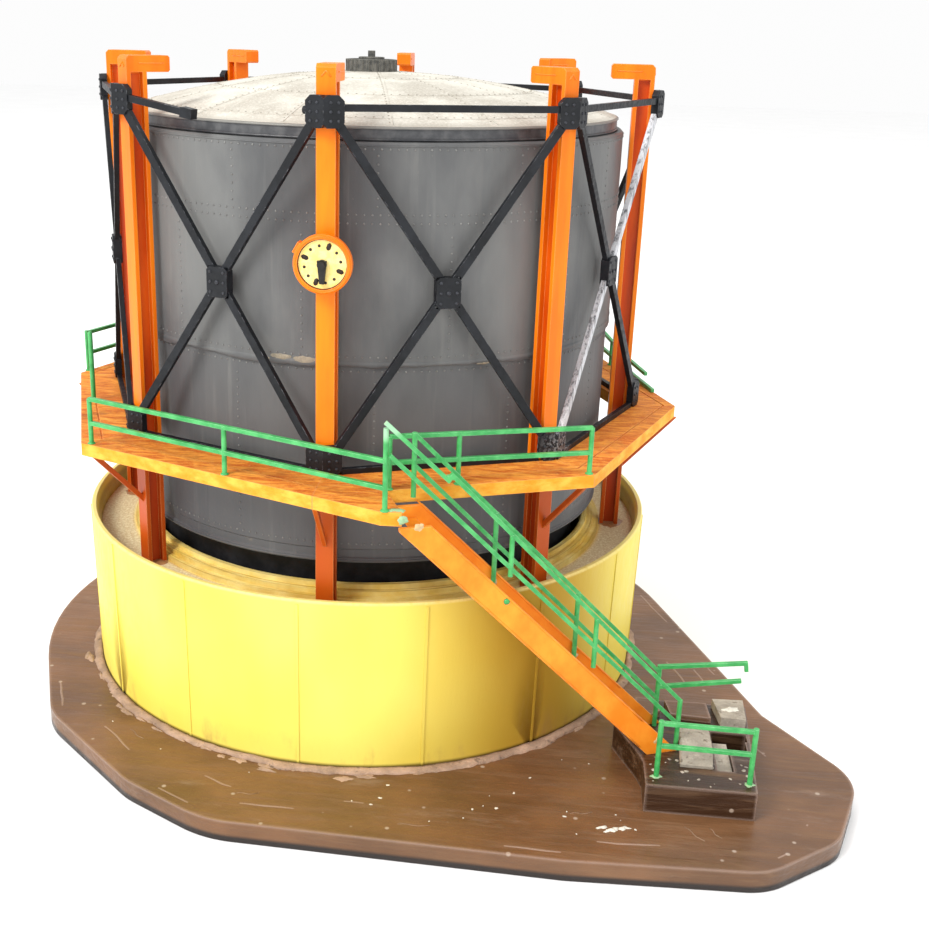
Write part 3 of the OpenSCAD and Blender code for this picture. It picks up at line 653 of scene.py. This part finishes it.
def lap_edge():
    """Uneven lower edge of the upper shell, and beads of glue along it."""
    mesh = bmesh.new()
    count = 420
    loops = []
    for i in range(count):
        t = TAU * i / count
        dip = 0.5 + 0.9 * noise.noise(Vector((math.cos(t) * 5, math.sin(t) * 5, 3)))
        dip = max(0.1, dip + 0.3 * noise.noise(Vector((math.cos(t) * 22, math.sin(t) * 22, 7))))
        r = BELL_R + 0.07
        loops.append([mesh.verts.new(around(q, z, t)) for q, z in (
            (BELL_R - 0.1, LAP_Z + 0.7), (r, LAP_Z + 0.5), (r + 0.05, LAP_Z - dip + 0.12),
            (r - 0.1, LAP_Z - dip), (BELL_LOW_R - 0.05, LAP_Z - dip + 0.1))])
    for one, two in zip(loops, loops[1:] + loops[:1]):
        for k in range(len(one) - 1):
            mesh.faces.new((one[k], one[k + 1], two[k + 1], two[k]))
    piece("lap_edge", mesh, BELL, "bell")
    mesh = bmesh.new()
    for i, (deg, lift, wide, tall) in enumerate(((-100.5, 0.8, 2.3, 0.8), (-95.5, 0.5, 2.5, 0.95),
                                                  (-103.5, 0.1, 1.2, 0.5), (-58, -0.3, 1.6, 0.35))):
        t = math.radians(deg)
        blob(mesh, around(BELL_R + 0.02, LAP_Z + lift, t), outward(t), wide, tall, 0.14, 11.0 + i)
    piece("lap_glue", mesh, GLUE_TAN, "bell")


# the roof is part of a sphere between the band and the crown's seat
ROOF_RISE = ROOF_TOP - BAND_Z
ROOF_SPHERE = ((BAND_R ** 2 - CROWN_SEAT_R ** 2) / ROOF_RISE + ROOF_RISE) / 2
ROOF_CENTRE = BAND_Z - math.sqrt(ROOF_SPHERE ** 2 - BAND_R ** 2)


def roof_point(r, t):
    """Point on the roof at radius r and angle t."""
    return around(r, ROOF_CENTRE + math.sqrt(ROOF_SPHERE ** 2 - r * r), t)


def roof_lines():
    """Plate seams of the roof, drawn as rows of small rivets and thin raised joints."""
    mesh = bmesh.new()
    spokes = 16
    rings = (20.5, 38.5, 54.5)
    centre = Vector((0, 0, ROOF_CENTRE))
    for r in rings:
        count = int(TAU * r / 1.9)
        for i in range(count):
            at = roof_point(r, TAU * i / count)
            dome(mesh, at, at - centre, 0.22, 0.12)
    for i in range(spokes):
        t = TAU * (i + 0.5) / spokes
        r = 8.0 if i % 2 == 0 else rings[0]
        while r < BAND_R - 1.5:
            at = roof_point(r, t)
            dome(mesh, at, at - centre, 0.22, 0.12)
            r += 1.9
    piece("roof_rivets", mesh, plain_dark("roof_rivet", (0.26, 0.24, 0.20), 0.6), "bell")
    mesh = bmesh.new()
    for r in rings:
        ring = [roof_point(r + 0.75, TAU * i / 180) for i in range(180)]
        tube(mesh, ring, 0.12, 5, True, 0.7)
    for i in range(spokes):
        t = TAU * (i + 0.5) / spokes
        start = 8.0 if i % 2 == 0 else rings[0]
        shift = 0.7
        radii = [start + (BAND_R - 1 - start) * k / 14 for k in range(15)]
        run = [roof_point(r, t + shift / r) for r in radii]
        tube(mesh, run, 0.12, 5, False, 0.7)
    piece("roof_joints", mesh, ROOF, "bell")


def rim_bead():
    """Rolled bead around the rim band, and the small step on the shell's shoulder."""
    mesh = bmesh.new()
    for r, z, size in ((BAND_R + 0.02, BAND_Z - 0.35, 0.3), (BAND_R + 0.05, SHOULDER_Z + 0.4, 0.26)):
        tube(mesh, [around(r, z, TAU * i / 240) for i in range(240)], size, 7, True)
    piece("rim_bead", mesh, BAND, "bell")
    mesh = bmesh.new()
    for r, z, size in ((BELL_R, SHOULDER_Z - 0.75, 0.17), (BELL_LOW_R + 0.02, BELL_Z + 0.4, 0.22)):
        tube(mesh, [around(r, z, TAU * i / 240) for i in range(240)], size, 6, True)
    piece("shell_beads", mesh, BELL, "bell")


def frame_rivets():
    """Rivets of the gussets and of the plates where the braces cross."""
    mesh = bmesh.new()
    edge_x = WING_OUT * math.tan(HALF)
    for k in range(SIDES):
        out = on_side(k, 0, -1, 0)
        for base, tall in ((GUS_Z, GUS_H), (DECK_Z, FOOT_H)):
            for sign in (-1, 1):
                for inset in (1.5, 3.1):
                    for share in (0.22, 0.5, 0.78):
                        at = on_side(k, sign * (edge_x - inset), -WING_OUT, base + tall * share)
                        dome(mesh, at, out, 0.36, 0.26)
        for x in (-1.75, 1.75):
            for z in (-2.2, 0, 2.2):
                dome(mesh, on_side(k, x, -WING_OUT - 0.1, CROSS_Z + z), out, 0.4, 0.28)
        dome(mesh, on_side(k, 0, -WING_OUT - 0.1, CROSS_Z), out, 0.55, 0.34, 8)
        front = on_column(k, 0, -1, 0)
        for base, tall in ((GUS_Z, GUS_H), (DECK_Z, FOOT_H)):
            for x in (-1.2, 1.2):
                for share in (0.25, 0.5, 0.75):
                    dome(mesh, on_column(k, x, COLUMN_Y - 1.4, base + tall * share), front, 0.36, 0.26)
    piece("frame_rivets", mesh, RIVET_BLACK, "frame")


def column_marks():
    """Chevron and ribs on each column head, and glue at each column's foot."""
    mesh = bmesh.new()
    for k in range(SIDES):
        for sign in (-1, 1):
            a = on_column(k, sign * 0.95, COLUMN_Y - 0.02, COLUMN_TOP - 2.4)
            b = on_column(k, 0, COLUMN_Y - 0.02, COLUMN_TOP - 1.3)
            tube(mesh, [a, (a + b) / 2, b], 0.16, 6)
        for sign in (-1, 1):
            face = [on_column(k, sign * 2.02, COLUMN_Y + 3 + i, COLUMN_TOP - 1.6) for i in range(7)]
            tube(mesh, face, 0.14, 6)
    piece("column_marks", mesh, COLUMN, "frame")
    mesh = bmesh.new()
    for k in range(SIDES):
        blob(mesh, on_column(k, 0, COLUMN_Y + 2.4, FLOOR_Z), UP, 3.6, 4.2, 0.35, 30.0 + k)
    piece("column_foot_glue", mesh, glue("foot_glue", (0.46, 0.24, 0.10)), "frame")


def dial_marks():
    """Four long and eight round marks on the dial, and the rolled edge of its case."""
    mesh = bmesh.new()
    start = math.radians(20)
    for i in range(12):
        t = start + TAU * i / 12
        direction = Vector((math.sin(t), 0, math.cos(t)))
        across = Vector((math.cos(t), 0, -math.sin(t)))
        centre = Vector((0, DIAL_Y, DIAL_Z))
        if i % 3 == 0:
            plate(mesh, centre + direction * 3.85, across, direction, 0.95, 1.6, 0.10)
        else:
            dome(mesh, centre + direction * 3.8, Vector((0, -1, 0)), 0.34, 0.12, 10)
    mark_paint = plain_dark("mark_paint", (0.022, 0.014, 0.010), 0.6)
    piece("dial_marks", mesh, mark_paint, "frame")

    def circle(r, y):
        return [Vector((r * math.cos(TAU * i / 72), y, DIAL_Z + r * math.sin(TAU * i / 72)))
                for i in range(72)]

    mesh = bmesh.new()
    tube(mesh, circle(5.62, low("dial_case").y + 0.15), 0.26, 7, True)
    piece("dial_bead", mesh, COLUMN, "frame")
    mesh = bmesh.new()
    tube(mesh, circle(5.08, DIAL_Y), 0.13, 6, True)
    piece("dial_groove", mesh, plain_dark("groove_paint", (0.05, 0.022, 0.010), 0.6), "frame")


def plaster_band():
    """Ragged band of plaster that beds the basin on the board."""
    mesh = bmesh.new()
    count = 520
    inner = BASIN_R + 0.12
    loops = []
    for i in range(count):
        t = TAU * i / count
        p = Vector((math.cos(t), math.sin(t), 0))
        wide = 2.1 + 1.1 * noise.noise(p * 6) + 0.7 * noise.noise(p * 21 + Vector((0, 0, 4)))
        wide = max(0.7, wide + 0.35 * noise.noise(p * 60 + Vector((0, 0, 9))))
        tall = 0.85 + 0.35 * noise.noise(p * 11 + Vector((0, 0, 2))) + 0.2 * noise.noise(p * 40)
        tall = max(0.4, tall)
        profile = ((inner, -0.05), (inner, tall * 0.8), (inner + wide * 0.35, tall),
                   (inner + wide * 0.75, tall * 0.72), (inner + wide * 0.97, tall * 0.25),
                   (inner + wide, -0.05))
        loops.append([mesh.verts.new(around(r, BOARD_Z + z, t)) for r, z in profile])
    for one, two in zip(loops, loops[1:] + loops[:1]):
        for k in range(len(one) - 1):
            mesh.faces.new((one[k], one[k + 1], two[k + 1], two[k]))
    made = piece("plaster_band", mesh, PLASTER, "frame")
    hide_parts("bedding_ring")
    mesh = bmesh.new()
    random.seed(7)
    for i in range(26):
        t = math.radians(random.uniform(-165, -20))
        r = BASIN_R + random.uniform(1.5, 4.2)
        blob(mesh, around(r, BOARD_Z + 0.02, t), UP, random.uniform(0.7, 2.4),
             random.uniform(0.4, 1.0), random.uniform(0.15, 0.5), 50.0 + i, t + 1.57, 0.7)
    piece("plaster_drops", mesh, PLASTER, "frame")


def board_outline(step=2.0):
    """Outline of the board from its own mesh, with evenly spaced points."""
    spots = [v.co / MM for v in frame["nodes"]["base_board"].data.vertices if v.co.z < 0.0005]
    middle = Vector((15, -10, 0))
    spots.sort(key=lambda p: math.atan2(p.y - middle.y, p.x - middle.x))
    loop = []
    for p in spots:
        if not loop or (p - loop[-1]).length > 0.05:
            loop.append(Vector((p.x, p.y, 0)))
    even = []
    for a, b in zip(loop, loop[1:] + loop[:1]):
        parts = max(1, int((b - a).length / step))
        even += [a.lerp(b, k / parts) for k in range(parts)]
    return even


def board_ridges():
    """Dried brush ridges that follow the edge of the board."""
    loop = board_outline()
    count = len(loop)
    mesh = bmesh.new()
    for n, inset in enumerate((2.6, 6.9, 12.2)):
        run = []
        for i, here in enumerate(loop):
            along = (loop[(i + 2) % count] - loop[i - 2]).normalized()
            inward = Vector((-along.y, along.x, 0))
            wobble = 0.9 * noise.noise(here * 0.045 + Vector((0, 0, n * 7)))
            wobble += 0.35 * noise.noise(here * 0.2 + Vector((0, 0, n * 3)))
            lift = 0.30 * noise.noise(here * 0.05 + Vector((0, 0, 40 + n * 5))) - 0.02
            at = here + inward * (inset + wobble)
            clear = math.hypot(at.x, at.y) > BASIN_R + 5 and lift > 0.0
            run.append(Vector((at.x, at.y, BOARD_Z - 0.22 + lift)) if clear else None)
        strip = []
        for at in run + [None]:
            if at is not None:
                strip.append(at)
            elif len(strip) > 4:
                tube(mesh, strip, 0.42, 6, False, 0.42)
                strip = []
            else:
                strip = []
    piece("board_ridges", mesh, BOARD, "frame")


def board_litter():
    """Crumbs, specks and scratches on the board in front of the basin."""
    random.seed(11)
    mesh = bmesh.new()
    for i in range(5):
        at = Vector((66.5 + random.uniform(-2.6, 2.6), -87.5 + random.uniform(-1.4, 1.4), BOARD_Z))
        blob(mesh, at, UP, random.uniform(0.6, 1.6), random.uniform(0.4, 0.9), 0.35, 80.0 + i, 0.4, 0.7)
    for i in range(60):
        x, y = random.uniform(-60, 105), random.uniform(-92, -60)
        if math.hypot(x, y) > BASIN_R + 5 and not (66 < x < 101 and y > -81):
            inside = math.hypot(x, y - 2) < 84 or (-12 < x < 100 and y > -92)
            if inside:
                size = random.uniform(0.12, 0.38)
                blob(mesh, Vector((x, y, BOARD_Z)), UP, size * 1.5, size, 0.12, 90.0 + i, i, 0.5, 9, 3)
    piece("board_litter", mesh, GLUE_WHITE, "frame")
    mesh = bmesh.new()
    scratches = ((84, -86, 6, -0.9), (88.5, -85, 4, -1.0), (60, -82, 5, 0.2), (24, -92, 7, 0.05),
                 (-14, -86, 5, 0.1), (-46, -66, 6, -0.7))
    for x, y, length, turn in scratches:
        run = []
        for k in range(7):
            s = (k / 6 - 0.5) * length
            bend = 0.25 * math.sin(k * 1.3)
            run.append(Vector((x + s * math.cos(turn) - bend * math.sin(turn),
                               y + s * math.sin(turn) + bend * math.cos(turn), BOARD_Z)))
        tube(mesh, run, 0.10, 5, False, 0.4)
    piece("board_scratches", mesh, PLASTER, "frame")


def post_pads():
    """Round pads and glue under the rail posts."""
    mesh = bmesh.new()
    # side, place along it, distance from the axis
    feet = [(7, -29.3, RAIL_A), (7, 8.6, RAIL_A + 0.15), (0, -15, RAIL_A + 0.4), (0, 0.2, RAIL_A + 0.3),
            (0, 30.6, RAIL_A), (5, -28.6, RAIL_A), (5, 0, RAIL_A - 0.5), (5, 27.6, RAIL_A - 1),
            (2, 29.4, RAIL_A), (2, 12, RAIL_A), (3, -29.4, RAIL_A), (3, 0, RAIL_A), (4, 0, RAIL_A),
            (4, 29.4, RAIL_A)]
    for k, s, a in feet:
        dome(mesh, on_side(k, s, -a, DECK_Z), UP, 0.95, 0.4, 12)
    for place in (LANDING_POST, LONE_POST):
        dome(mesh, Vector((*place, DECK_Z)), UP, 1.0, 0.45, 12)
    dome(mesh, Vector((*LONE_POST, high("lone_post").z)), UP, 0.6, 0.3, 12)
    piece("post_pads", mesh, GREEN, "frame")
    mesh = bmesh.new()
    corner = on_stair(-0.4, 2.2, 0)
    blob(mesh, Vector((corner.x, corner.y, DECK_Z - 0.1)), UP, 1.5, 1.0, 0.4, 3.0, 0.4, 0.5)
    blob(mesh, Vector((17.4, -87.6, DECK_Z)), UP, 1.2, 0.9, 0.35, 4.0, 0.2, 0.5)
    edge = on_stair(0, -0.1, DECK_Z - 1.3)
    blob(mesh, edge, on_stair(0, -1, 0) - on_stair(0, 0, 0), 1.2, 0.8, 0.3, 6.0, 0, 0.5)
    for n, (x, y) in enumerate(((76, -75.6), (96.2, -75.8))):
        blob(mesh, Vector((x, y, BLOCK_Z)), UP, 1.3, 0.9, 0.35, 7.0 + n, 0.3, 0.5)
    piece("pale_glue", mesh, GLUE_PALE, "frame")


def stair_details():
    """Pegs in the stringers and the glue along them."""
    mesh = bmesh.new()
    out = on_stair(0, -1, 0) - on_stair(0, 0, 0)
    peg = on_stair(22.9, -0.35, STAIR_TOP - 22.9 - 1.4)
    dome(mesh, peg, out, 0.7, 0.45, 12)
    piece("outer_peg", mesh, GREEN, "frame")
    mesh = bmesh.new()
    blob(mesh, on_stair(3.2, STAIR_FACE, STAIR_TOP - 3.2 - 2.6), out, 1.1, 0.8, 0.18, 21.0, 0.3, 0.5)
    blob(mesh, on_stair(61.5, STAIR_FACE, STAIR_TOP - 61.5 - 1.4), out, 1.3, 0.6, 0.15, 23.0, 0.7, 0.5)
    for u in (23.9, 44.3):
        blob(mesh, on_stair(u, 10.9, STAIR_TOP - u - 1.2), out, 0.9, 0.9, 0.5, 20.0 + u, 0, 0.4)
    piece("stair_glue", mesh, glue("stair_glue", (0.72, 0.50, 0.24)), "frame")
    mesh = bmesh.new()
    for side_y, head in ((-0.45, STAIR_TOP), (11.55, STAIR_TOP_INNER)):
        for edge in (0.35, 7.1):
            run = [on_stair(u, side_y - 0.02, head - edge - u) for u in
                   [6 + 3 * k for k in range(18)] if head - edge - u > BLOCK_Z + 0.5]
            if len(run) > 2:
                tube(mesh, run, 0.2, 6)
    piece("stringer_lips", mesh, STAIRS, "frame")


def block_details():
    """Rubble and a pale smear on the stair's foot block."""
    random.seed(5)
    mesh = bmesh.new()
    for i in range(26):
        at = Vector((random.uniform(75, 97), random.uniform(-78, -67.5), BLOCK_Z))
        size = random.uniform(0.2, 0.7)
        blob(mesh, at, UP, size, size * 0.7, size * 0.35, 120.0 + i, i, 0.6, 12, 3)
    for i in range(10):
        at = Vector((random.uniform(83, 88.5), random.uniform(-65, -57.5), BLOCK_Z + 1.9))
        size = random.uniform(0.3, 0.8)
        blob(mesh, at, UP, size, size * 0.6, size * 0.3, 150.0 + i, i, 0.6, 12, 3)
    piece("block_crumbs", mesh, STONE, "frame")
    mesh = bmesh.new()
    blob(mesh, Vector((95.4, -47.5, BLOCK_Z + 2.4)), UP, 2.0, 1.2, 0.25, 170.0, 0.3, 0.6)
    piece("stone_smear", mesh, GLUE_WHITE, "frame")


def crown_details():
    """Fine turned rings on the crown."""
    mesh = bmesh.new()
    cap_lo, cap_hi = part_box("crown_cap")
    ring_lo, ring_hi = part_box("crown_ring")
    x = (cap_lo.x + cap_hi.x) / 2 / MM
    for r, z, size in ((5.6, ring_hi.z / MM, 0.16), (2.9, cap_lo.z / MM + 1.5, 0.16)):
        ring = [Vector((x + r * math.cos(TAU * i / 60), r * math.sin(TAU * i / 60), z - 0.08))
                for i in range(60)]
        tube(mesh, ring, size, 6, True)
    piece("crown_beads", mesh, PAINT_OF_SLOT["crown_grey"], "bell")


bell_rivets()
lap_edge()
roof_lines()
rim_bead()
frame_rivets()
column_marks()
dial_marks()
plaster_band()
board_ridges()
board_litter()
post_pads()
stair_details()
block_details()
crown_details()


# ---------- floor, light and camera ----------

def stage():
    """Pale plain floor."""
    mesh = bmesh.new()
    bmesh.ops.create_grid(mesh, x_segments=2, y_segments=2, size=3.0)
    data = bpy.data.meshes.new("floor")
    mesh.to_mesh(data)
    mesh.free()
    floor = bpy.data.objects.new("floor", data)
    floor.location.z = -0.0002
    bpy.context.scene.collection.objects.link(floor)
    p = Paint("floor_paint", 0.2)
    data.materials.append(p.done(p.mix(p.step(p.noise(60), 0.3, 0.7), (0.95, 0.95, 0.95),
                                       (0.97, 0.97, 0.97)), 0.9))


def area_light(name, at, aim, size, power, colour=(1, 1, 1)):
    data = bpy.data.lights.new(name, "AREA")
    data.shape = "DISK"
    data.size = size
    data.energy = power
    data.color = colour
    light = bpy.data.objects.new(name, data)
    light.location = at
    light.rotation_euler = (Vector(aim) - Vector(at)).to_track_quat("-Z", "Y").to_euler()
    bpy.context.scene.collection.objects.link(light)


def lights():
    world = bpy.data.worlds.new("studio")
    bpy.context.scene.world = world
    world.use_nodes = True
    back = world.node_tree.nodes["Background"]
    back.inputs["Color"].default_value = (1, 1, 1, 1)
    back.inputs["Strength"].default_value = 0.98
    middle = (0, 0, 0.07)
    area_light("key", (-0.75, -0.85, 1.05), middle, 0.6, 18.0, (1.0, 0.985, 0.96))
    area_light("top", (0.1, 0.2, 1.3), middle, 0.9, 4.0)
    area_light("fill", (1.0, -0.7, 0.5), middle, 0.8, 3.0, (1.0, 0.98, 0.96))


def camera():
    """The photo's camera, as fitted to the photo's own points."""
    data = bpy.data.cameras.new("view")
    data.lens = 47.857
    data.sensor_width = 36
    data.shift_x = 0.06166
    data.shift_y = -0.01081
    data.clip_start = 0.01
    data.clip_end = 20
    made = bpy.data.objects.new("view", data)
    right = Vector((0.99255, 0.1194, 0.02424))
    down = Vector((0.06178, -0.32178, -0.9448))
    forward = Vector((-0.10501, 0.93926, -0.32676))
    turn = Matrix((right, -down, -forward)).transposed().to_4x4()
    turn.translation = mm(45.997, -320.694, 167.077)
    made.matrix_world = turn
    bpy.context.scene.collection.objects.link(made)
    bpy.context.scene.camera = made


stage()
lights()
camera()
bpy.context.scene.view_settings.view_transform = "Standard"
